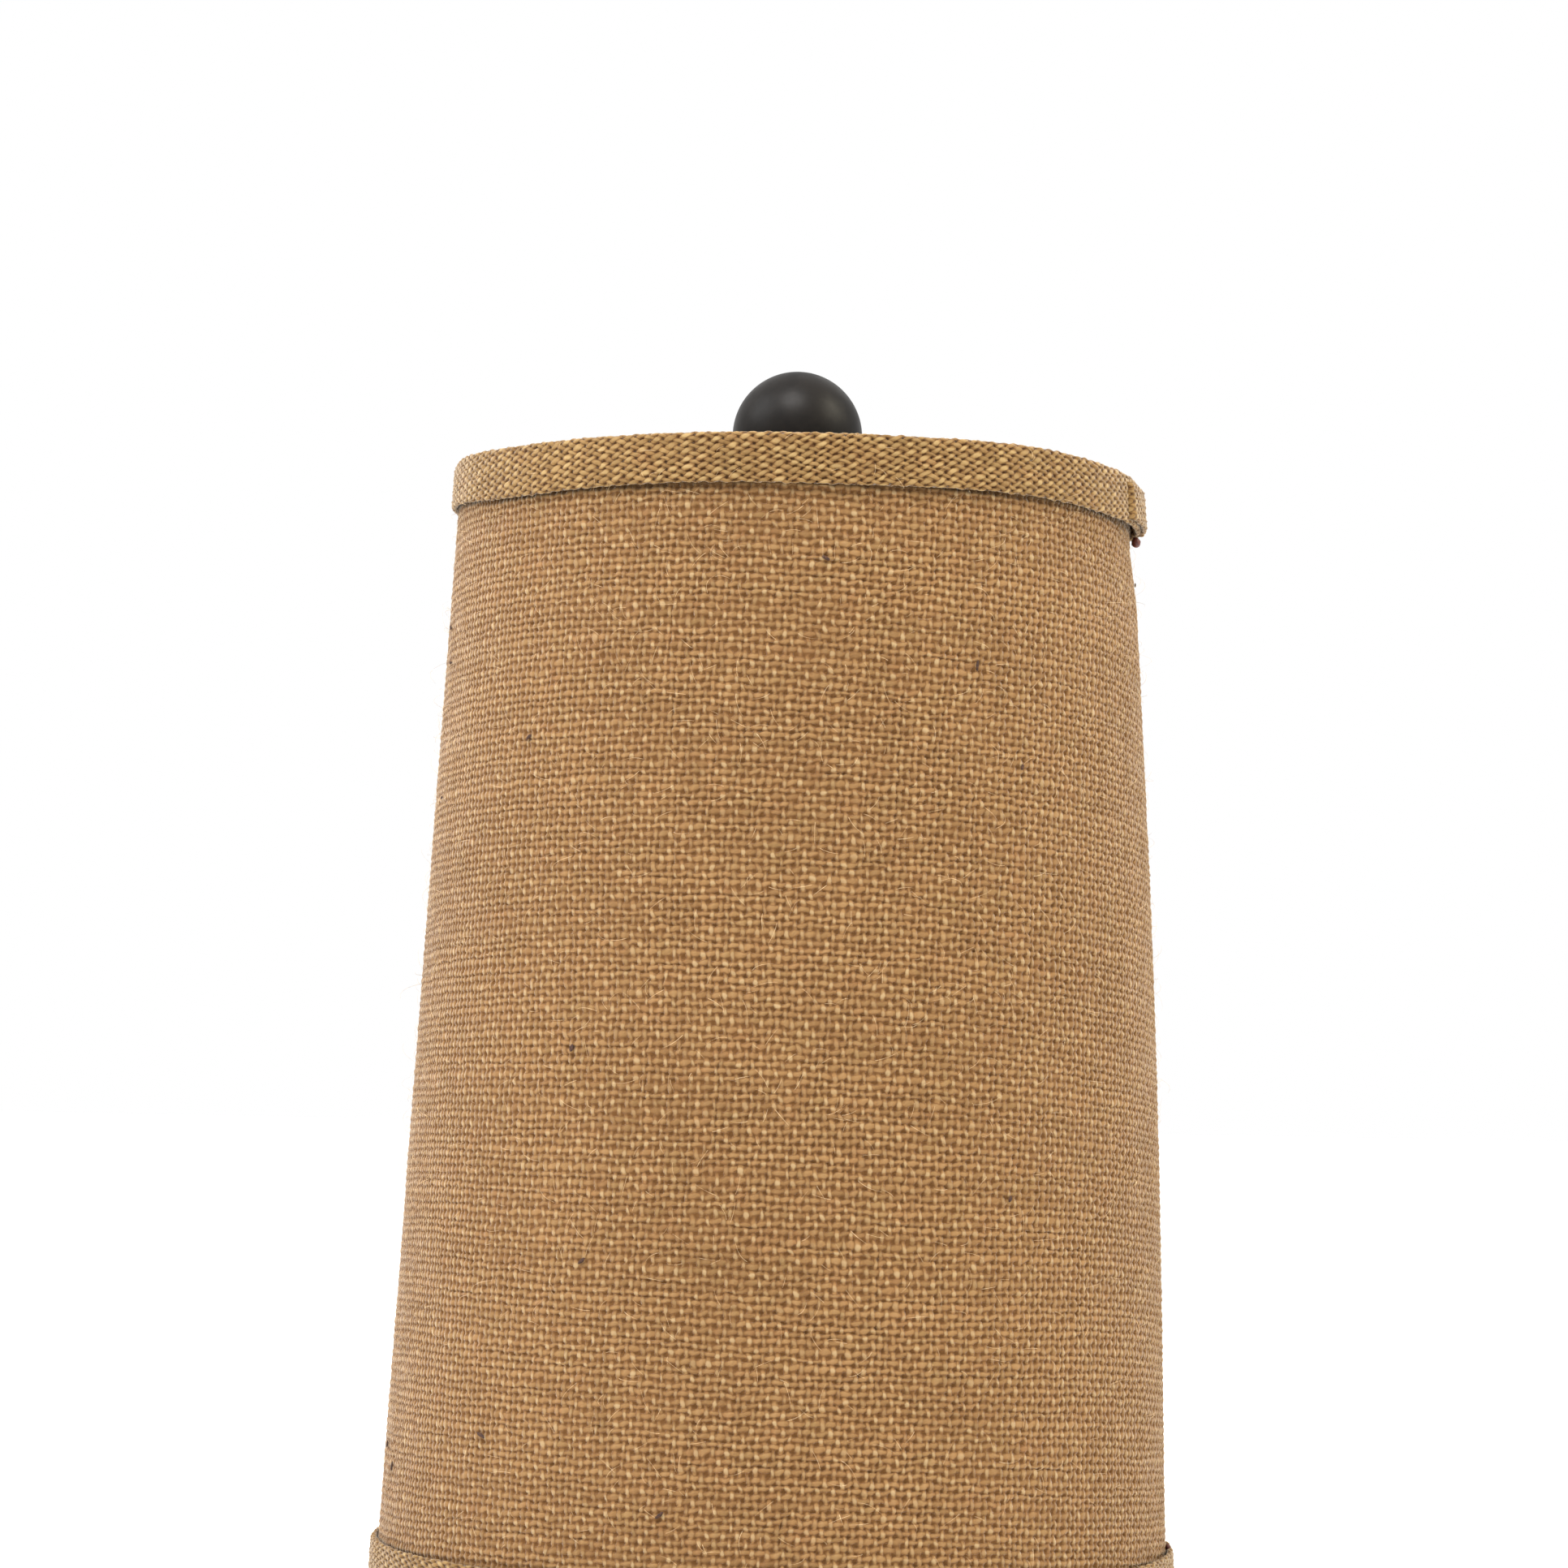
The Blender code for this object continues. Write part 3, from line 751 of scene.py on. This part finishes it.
def burlap_material(name, weave, dye_and_painted_light):
    """Natural jute: uneven golden yarns, with painted shade in the holes and on the yarns' sides, and a painted
    highlight on each crown.
    """
    g = Graph(name)
    w = weave_nodes(g, weave)
    patch = g.noise(g.place(), 30.0, 3.0)
    warmth = g.noise(w["uv"], 0.26, 3.0, 0.65)

    tone = g.math("MULTIPLY", patch, 0.6)
    for part, share in TONE_SHARES:
        tone = g.math("MULTIPLY_ADD", w[part], share, tone)
    yarns = g.mix(g.span(tone, 0.95, 1.75), dye_and_painted_light.dark, dye_and_painted_light.light)
    yarns = g.mix(g.span(warmth, 0.50, 0.75, 0.0, 0.27), yarns, REDDISH)
    yarns = g.mix(g.span(warmth, 0.50, 0.25, 0.0, 0.34), yarns, GREENISH)
    # Painted shade: the holes and each yarn's sides darken by the yarn's height and its ridge.
    top = g.either(w["is_warp"], YARN_BULGE + weave.weft_lift, YARN_BULGE + weave.warp_lift)
    risen = g.math("DIVIDE", w["height"], top)
    body = g.math("MULTIPLY", g.span(risen, -0.15, 0.55), g.span(w["ridge"], *dye_and_painted_light.flanks))
    colour = g.mix(body, dye_and_painted_light.hole, yarns)

    # Painted highlight: each crown turns paler, more on some crossings than on others.
    warp_highlight, weft_highlight = dye_and_painted_light.crowns
    crown = g.math("MULTIPLY", g.span(risen, 0.60, 0.98), g.either(w["is_warp"], weft_highlight, warp_highlight))
    crown = g.math("MULTIPLY", crown, g.math("MULTIPLY_ADD", w["crossing"], 0.9, 0.25))
    colour = g.mix(crown, colour, dye_and_painted_light.pale)
    # Painted shadow and glue: the cover darkens along the trims' edges.
    glue_and_shade = g.node("ShaderNodeAttribute", attribute_name="glue_and_shade").outputs["Fac"]
    colour = g.mix(g.math("MULTIPLY", glue_and_shade, 0.85), colour, GLUE_AND_SHADOW_COLOUR)

    g.bump(g.math("MULTIPLY_ADD", w["fibres"], 0.55, g.math("MULTIPLY", w["height"], 0.5)), 0.28 * MM, 0.8)
    g.put("Sheen Weight", 0.50)
    g.put("Sheen Roughness", 0.3)
    g.put("Sheen Tint", (1.0, 0.93, 0.84, 1.0))
    g.put("Specular IOR Level", 0.12)
    g.put("Roughness", g.span(w["fibres"], 0.3, 0.7, 0.82, 0.97))
    g.put("Base Color", colour)
    return g.material


def grain_material(name, scale, dull, bright, roughness, depth=0.0):
    """A matt material with a fine uneven grain."""
    g = Graph(name)
    grain = g.noise(g.place(), scale, 4.0)
    g.put("Base Color", g.mix(g.span(grain, 0.3, 0.7), dull, bright))
    g.put("Roughness", g.span(grain, 0.3, 0.7, *roughness))
    g.put("Specular IOR Level", 0.3)
    if depth:
        g.bump(grain, depth, 0.6)
    return g.material


def styrene_material():
    """Off-white styrene, a little yellowed in patches, with the satin print of its rollers."""
    g = Graph("styrene_sheet")
    patch = g.noise(g.place(), 30.0, 3.0)
    grain = g.noise(g.place(), 900.0, 2.0)
    g.put("Base Color", g.mix(patch, (0.78, 0.73, 0.63), (0.87, 0.84, 0.76)))
    g.put("Roughness", g.span(grain, 0.3, 0.7, 0.42, 0.58))
    g.bump(grain, 0.05 * MM, 0.4)
    return g.material


def metal_material(name, bright, dull, roughness, metallic, scale, grain_depth, specular=0.5):
    """Plated metal with uneven tarnish and a fine grain."""
    g = Graph(name)
    tarnish = g.noise(g.place(), scale, 5.0, 0.6)
    grain = g.noise(g.place(), scale * 14.0, 3.0)
    g.put("Base Color", g.mix(g.span(tarnish, 0.35, 0.68), bright, dull))
    g.put("Roughness", g.span(tarnish, 0.3, 0.7, *roughness))
    g.put("Metallic", metallic)
    g.put("Specular IOR Level", specular)
    g.bump(grain, grain_depth, 0.5)
    return g.material


# ---- rigid pieces

def build_turned(name, profile, surface, steps=96, shape=None):
    """A turned body from its closed section, as (radius, height). shape may change a point's radius."""
    angle = np.arange(steps) * TURN / steps
    points, rings = [], []
    for radius, z in profile:
        if radius < 1e-7:
            rings.append([len(points)] * steps)
            points.append((0.0, 0.0, z))
        else:
            rings.append(list(range(len(points), len(points) + steps)))
            radii = np.full(steps, radius) if shape is None else shape(radius, z, angle)
            points.extend(on_shade(angle, radii, np.full(steps, z)))
    return add_solid(name, points, skin(rings + rings[:1]), surface)


def rounded_ring(inner, outer, low, high, edge):
    """The section of a flat ring with rounded edges."""
    inner, outer, low, high = inner + edge, outer - edge, low + edge, high - edge
    section = []
    for number, corner in enumerate([(outer, low), (outer, high), (inner, high), (inner, low)]):
        section += arc_points(corner, edge, 90 * number - 90, 90 * number, 5)
    return section


BALL_FLAT = 14.0 * MM  # from the ball's centre down to the flat that meets the collar
BALL_RADIUS = BALL_HIGH[2] - BALL_LOW[2] - BALL_FLAT
SHANK_RADIUS, SHANK_LENGTH, SHANK_GAP = 3.0 * MM, 10.0 * MM, 0.3 * MM
SOCKET_RADIUS, SOCKET_DEPTH = 3.1 * MM, 9.0 * MM
THREAD_LEAD, THREAD_DEPTH = 0.9407 * MM, 0.28 * MM


def build_ball(surface):
    """The finial's ball, with the small flat that meets the collar and the bore for its shank."""
    centre = BALL_HIGH[2] - BALL_RADIUS
    flat = BALL_LOW[2]
    low = -math.degrees(math.asin(BALL_FLAT / BALL_RADIUS))
    bore = SHANK_RADIUS + SHANK_GAP
    bore_top = COLLAR_HIGH[2] + SHANK_GAP
    profile = [(bore, flat)] + arc_points((0.0, centre), BALL_RADIUS, low, 90, 56)
    profile[-1] = (0.0, centre + BALL_RADIUS)
    profile += [(0.0, bore_top), (bore, bore_top)]
    return build_turned("finial_ball_polished", profile, surface, 128)


def socket_thread(radius, z, angle):
    """Cuts the harp's right-handed thread into the collar's socket."""
    if abs(radius - SOCKET_RADIUS) > 0.01 * MM or z > COLLAR_LOW[2] + SOCKET_DEPTH - 0.4 * MM:
        return np.full(len(angle), radius)
    turn = z / THREAD_LEAD - angle / TURN
    return radius + THREAD_DEPTH * (np.abs(2.0 * (turn - np.floor(turn)) - 1.0) - 0.5)


def build_collar(surface):
    """The finial's collar: a flange, a turned neck and a cup under the ball, with the socket up its middle."""
    low, cup_top = COLLAR_LOW[2], COLLAR_HIGH[2] - SHANK_LENGTH
    flange, neck, cup = 6.5 * MM, 4.6 * MM, 5.6 * MM
    flange_top, cup_low = low + 1.8 * MM, cup_top - 1.3 * MM
    edge, fillet = 0.45 * MM, 1.0 * MM
    socket = [(SOCKET_RADIUS, low + SOCKET_DEPTH * step / 60) for step in range(60, -1, -1)]
    profile = (
        arc_points((flange - edge, low + edge), edge, -90, 0, 6)
        + arc_points((flange - 1.2 * edge, flange_top - 1.2 * edge), 1.2 * edge, 0, 90, 6)
        + arc_points((neck + fillet, flange_top + fillet), fillet, 270, 180, 8)
        + arc_points((neck + fillet, cup_low - fillet), fillet, 180, 90, 8)
        + arc_points((cup - edge, cup_low + edge), edge, -90, 0, 6)
        + arc_points((cup - edge, cup_top - edge), edge, 0, 90, 6)
        + [(SHANK_RADIUS, cup_top), (SHANK_RADIUS, COLLAR_HIGH[2] - edge), (SHANK_RADIUS - edge, COLLAR_HIGH[2])]
        + [(0.0, COLLAR_HIGH[2]), (0.0, low + SOCKET_DEPTH + SOCKET_RADIUS / 2)]
        + socket
    )
    return build_turned("finial_collar_turned", profile, surface, 72, socket_thread)


RING_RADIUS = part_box("top_ring")[1][0] - WIRE_RADIUS
RING_HEIGHT = (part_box("top_ring")[0][2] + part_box("top_ring")[1][2]) / 2
ARM_AZIMUTHS = {"spider_arm_1": 60.0, "spider_arm_2": 180.0, "spider_arm_3": 300.0}
ARM_BEND = 4.0 * MM
ARM_END = 8.6 * MM  # from the shade's axis
ARM_SIDES = 20
HUB_BORE, HUB_EDGE = 5.55 * MM, 0.35 * MM
WASHER_BORE, WASHER_EDGE = 3.5 * MM, 0.15 * MM
LINER_FACE, LINER_SHEET = -1.0 * MM, 0.4 * MM  # from the cone to the liner's outer face, and its thickness
LINER_LAP = 8.0 * MM


def build_arm(node, azimuth, surface):
    """One arm of the spider: a wire from the top ring down and in to the hub, soldered at both ends."""
    setback = cone_radius(RING_HEIGHT) - RING_RADIUS
    bend_height = ARM_HEIGHT + ARM_BEND
    centre = (cone_radius(bend_height) - setback - ARM_BEND, bend_height)
    top = RING_HEIGHT - 0.5 * WIRE_RADIUS
    path = [(cone_radius(top) - setback, top)]
    path += arc_points(centre, ARM_BEND, math.degrees(LEAN), -90.0, 14)
    path += [(ARM_END + 0.5 * WIRE_RADIUS, ARM_HEIGHT)]
    path = np.array(path)

    outward, sideways, upward = frame_at(math.radians(azimuth))
    heading = np.gradient(path, axis=0)
    heading /= np.linalg.norm(heading, axis=1)[:, None]
    tip = ((0.5, 0.5), (0.3, 0.85))  # the wire's rounded end: how far past it, and how thick, in radii
    start = [(path[0] - heading[0] * WIRE_RADIUS * past, heading[0], size) for past, size in tip]
    end = [(path[-1] + heading[-1] * WIRE_RADIUS * past, heading[-1], size) for past, size in tip[::-1]]
    rings = start + [(place, way, 1.0) for place, way in zip(path, heading)] + end
    points = []
    for place, way, size in rings:
        for side in range(ARM_SIDES):
            angle = TURN * side / ARM_SIDES
            across = math.cos(angle) * (way[1] * outward - way[0] * upward) + math.sin(angle) * sideways
            points.append(place[0] * outward + place[1] * upward + size * WIRE_RADIUS * across)
    numbers = np.arange(len(points)).reshape(-1, ARM_SIDES).tolist()
    faces = skin(numbers) + [numbers[0][::-1], numbers[-1]]

    at_ring = (RING_RADIUS + 0.1 * MM) * outward + (RING_HEIGHT - 1.3 * MM) * upward
    at_hub = 10.4 * MM * outward + (HUB_HIGH[2] + 0.35 * MM) * upward
    solder = [  # half sizes sideways, outward and upward
        blob(at_ring, (2.3 * MM * sideways, 1.35 * MM * outward, 1.7 * MM * upward), 8, 14, 5),
        blob(at_hub, (2.1 * MM * sideways, 1.8 * MM * outward, 0.95 * MM * upward), 8, 14, 6),
    ]
    made = add_solid(f"{node}_wire", *join([(points, faces)] + solder), surface, 60.0)
    return dress(made, "shade", "fitter_metal", node)


def build_liner(surface):
    """The styrene sheet behind the cover, one piece lapped on itself at the seam."""
    low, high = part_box("styrene_liner")[0][2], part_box("styrene_liner")[1][2]
    lap = LINER_LAP / BOTTOM_RADIUS
    around = PATTERN_CENTRE + math.pi + np.concatenate([
        np.linspace(0.0, 2 * lap, 13)[:-1],
        np.linspace(2 * lap, TURN - lap, 180)[:-1],
        np.linspace(TURN - lap, TURN + lap, 13),
    ])
    azimuth, z = np.meshgrid(around, np.linspace(low, high, 30), indexing="ij")
    tucked = ease((azimuth - around[0] - TURN + lap) / lap)
    wall = cone_radius(z) + bow(azimuth, z) + pinch(azimuth, z)
    outer = wall + LINER_FACE - (LINER_SHEET + 0.05 * MM) * tucked
    points = np.stack([on_shade(azimuth, outer, z), on_shade(azimuth, outer - LINER_SHEET, z)])
    number = np.arange(2 * azimuth.size).reshape(2, *azimuth.shape)

    def quads(*corners):
        return np.stack(corners, axis=-1).reshape(-1, 4)

    out, back = number
    section = np.concatenate([out, back[:, ::-1]], axis=1)  # up the outer face and down the inner one
    after = np.roll(section, -1, axis=1)
    faces = np.concatenate([
        quads(section[:-1], section[1:], after[1:], after[:-1]),
        quads(out[0, :-1], out[0, 1:], back[0, 1:], back[0, :-1]),
        quads(out[-1, :-1], back[-1, :-1], back[-1, 1:], out[-1, 1:]),
    ])
    made = add_mesh("styrene_liner_sheet", points.reshape(-1, 3), faces, surface)
    made.data.set_sharp_from_angle(angle=math.radians(SHARP))
    return made


# ---- camera, light and floor

def scene_camera():
    """The camera: a little below the shade's middle, tilted up, and rolled slightly. Angles are in radians."""
    distance, height = 905.3 * MM, 114.4 * MM
    yaw, pitch, roll = -0.0016, 0.0673, 0.0198
    ahead = mathutils.Vector((math.sin(yaw), math.cos(yaw), 0.0))
    right = mathutils.Vector((math.cos(yaw), -math.sin(yaw), 0.0))
    up = mathutils.Vector((0.0, 0.0, 1.0))
    forward = math.cos(pitch) * ahead + math.sin(pitch) * up
    lifted = math.cos(pitch) * up - math.sin(pitch) * ahead
    camera_right = math.cos(roll) * right + math.sin(roll) * lifted
    camera_up = math.cos(roll) * lifted - math.sin(roll) * right
    turn = mathutils.Matrix((camera_right, camera_up, -forward)).transposed().to_4x4()
    data = bpy.data.cameras.new("camera")
    data.lens = 93.66
    data.sensor_width = 36.0
    data.clip_start = 0.01
    data.clip_end = 50.0
    made = bpy.data.objects.new("camera", data)
    made.matrix_world = mathutils.Matrix.Translation((0.0, -distance, height)) @ turn
    bpy.context.scene.camera = link(made)


# Each light, turned to the shade's middle, as (name, size, power in watts, place, colour)
LIGHTS = (
    ("front", 0.6, 28.0, (-0.20, -0.66, 1.45), (1.0, 1.0, 1.0)),
    ("left", 0.7, 19.5, (-1.10, -0.22, 1.10), (1.0, 1.0, 1.0)),
    ("right", 0.7, 20.5, (1.10, -0.22, 1.10), (1.0, 0.94, 0.76)),
)


def build_stage():
    """A white room with soft square lights: the floor and the surroundings are the same plain white."""
    scene = bpy.context.scene
    scene.view_settings.view_transform = "Standard"
    world = bpy.data.worlds.new("studio")
    world.use_nodes = True
    background = world.node_tree.nodes["Background"].inputs
    background["Color"].default_value = (1.0, 1.0, 1.0, 1.0)
    background["Strength"].default_value = 1.0
    scene.world = world
    g = Graph("studio_floor")
    g.put("Base Color", (0.93, 0.93, 0.92, 1.0))
    g.put("Roughness", 0.9)
    g.put("Emission Color", (1.0, 1.0, 1.0, 1.0))
    g.put("Emission Strength", 0.12)
    reach = 6.0
    corners = [(-reach, -reach, 0.0), (reach, -reach, 0.0), (reach, reach, 0.0), (-reach, reach, 0.0)]
    add_mesh("studio_floor", corners, [(0, 1, 2, 3)], g.material)
    for name, size, power, place, colour in LIGHTS:
        data = bpy.data.lights.new(name, "AREA")
        data.shape = "SQUARE"
        data.size = size
        data.energy = power
        data.color = colour
        light = link(bpy.data.objects.new(name, data))
        light.location = place
        towards = mathutils.Vector((0.0, 0.0, HEIGHT / 2)) - light.location
        light.rotation_euler = towards.to_track_quat("-Z", "Y").to_euler()


# ---- the whole

scene_camera()
build_stage()

# Each burlap's yarn colours, with the colours and shares of its painted shade (holes, sides) and its painted
# highlight (crown).
COVER_DYE_AND_PAINTED_LIGHT = DyeAndPaintedLight(light=(0.220, 0.1195, 0.047), dark=(0.147, 0.076, 0.028), hole=(0.113, 0.051, 0.016),
                pale=(0.300, 0.212, 0.112), crowns=(0.80, 0.15), flanks=(-0.1, 0.8))
TRIM_DYE_AND_PAINTED_LIGHT = DyeAndPaintedLight(light=(0.205, 0.117, 0.043), dark=(0.135, 0.073, 0.025), hole=(0.065, 0.028, 0.009),
               pale=(0.34, 0.238, 0.106), crowns=(0.65, 0.25), flanks=(-0.1, 0.9))
burlap = burlap_material("burlap_weave", COVER_WEAVE, COVER_DYE_AND_PAINTED_LIGHT)
bias = burlap_material("burlap_bias", TRIM_WEAVE, TRIM_DYE_AND_PAINTED_LIGHT)
fibre = grain_material("jute_fibre", 900.0, (0.50, 0.33, 0.17), (0.72, 0.55, 0.34), (0.6, 0.8))
bark = grain_material("jute_bark", 2500.0, (0.018, 0.008, 0.005), (0.060, 0.024, 0.012), (0.7, 0.9), 0.05 * MM)
# Dark glue, whose spots also paint the shade under the trims' laps.
glue_and_shade = grain_material("dried_glue_and_shade", 1200.0, (0.050, 0.010, 0.008), (0.105, 0.030, 0.020), (0.35, 0.6), 0.05 * MM)
black_fibre = grain_material("black_fibre", 1500.0, (0.018, 0.017, 0.016), (0.045, 0.042, 0.038),
                             (0.75, 0.95), 0.06 * MM)
styrene = styrene_material()
fitter = metal_material("fitter_plate", (0.78, 0.60, 0.33), (0.50, 0.36, 0.18), (0.22, 0.45), 1.0,
                        160.0, 0.02 * MM)
bronze = metal_material("dark_bronze_patina", (0.011, 0.0092, 0.0080), (0.006, 0.0050, 0.0044), (0.38, 0.48), 0.1,
                        110.0, 0.03 * MM, 0.09)

liner = dress(build_liner(styrene), "shade", "styrene", "styrene_liner")
cover = dress(build_cover(burlap), "shade", "burlap", "fabric_cover")
# Each trim as (end of the shade, where its lap ends in degrees, how far the lap stands off, seed).
TRIMS = (
    ("top", 70.5, (1.25 * MM, 0.35 * MM), TOP_SEED),
    ("bottom", 80.0, (0.05 * MM, 0.0), BOTTOM_SEED),
)
for end, lap, lap_lift, seed in TRIMS:
    trim, size = build_trim(f"{end}_bias_trim", bias, end == "top", math.radians(lap), lap_lift, seed)
    dress(trim, "shade", "burlap_trim", f"{end}_trim")
cover_span = (TRIM_WIDTH, HEIGHT - TRIM_WIDTH)
fuzz = dress(build_fuzz("cover_fuzz", fibre, 3200, cover_span, 0.0, (1.4 * MM, 5.0 * MM), 61), "shade", "burlap")
# The trims' loose fibres as (name, count, the heights that they grow between, seed).
TRIM_FUZZ = (
    ("top_trim_fuzz", 110, (HEIGHT - TRIM_WIDTH, HEIGHT - 1.5 * MM), 62),
    ("bottom_trim_fuzz", 130, (1.5 * MM, TRIM_WIDTH - 1.5 * MM), 63),
)
for name, count, span, seed in TRIM_FUZZ:
    dress(build_fuzz(name, fibre, count, span, 1.5 * MM, (1.2 * MM, 3.5 * MM), seed), "shade", "burlap_trim")
flecks = dress(build_flecks(bark), "shade", "burlap")
dress(build_glue_and_shade_spots(glue_and_shade), "shade", "burlap_trim")

for node, azimuth in ARM_AZIMUTHS.items():
    build_arm(node, azimuth, fitter)
hub = rounded_ring(HUB_BORE, HUB_HIGH[0], HUB_LOW[2], HUB_HIGH[2], HUB_EDGE)
dress(build_turned("spider_hub_washer", hub, fitter), "shade", "fitter_metal", "spider_hub")
friction = rounded_ring(WASHER_BORE, WASHER_HIGH[0], WASHER_LOW[2], WASHER_HIGH[2], WASHER_EDGE)
dress(build_turned("finial_friction_washer", friction, black_fibre), "washer", "fibre", "finial_washer")
dress(build_collar(bronze), "finial", "dark_bronze", "finial_collar")
dress(build_ball(bronze), "finial", "dark_bronze", "finial_ball")
for node in ("top_ring", "bottom_ring"):
    for slot in bpy.data.objects[node].material_slots:
        slot.material = fitter
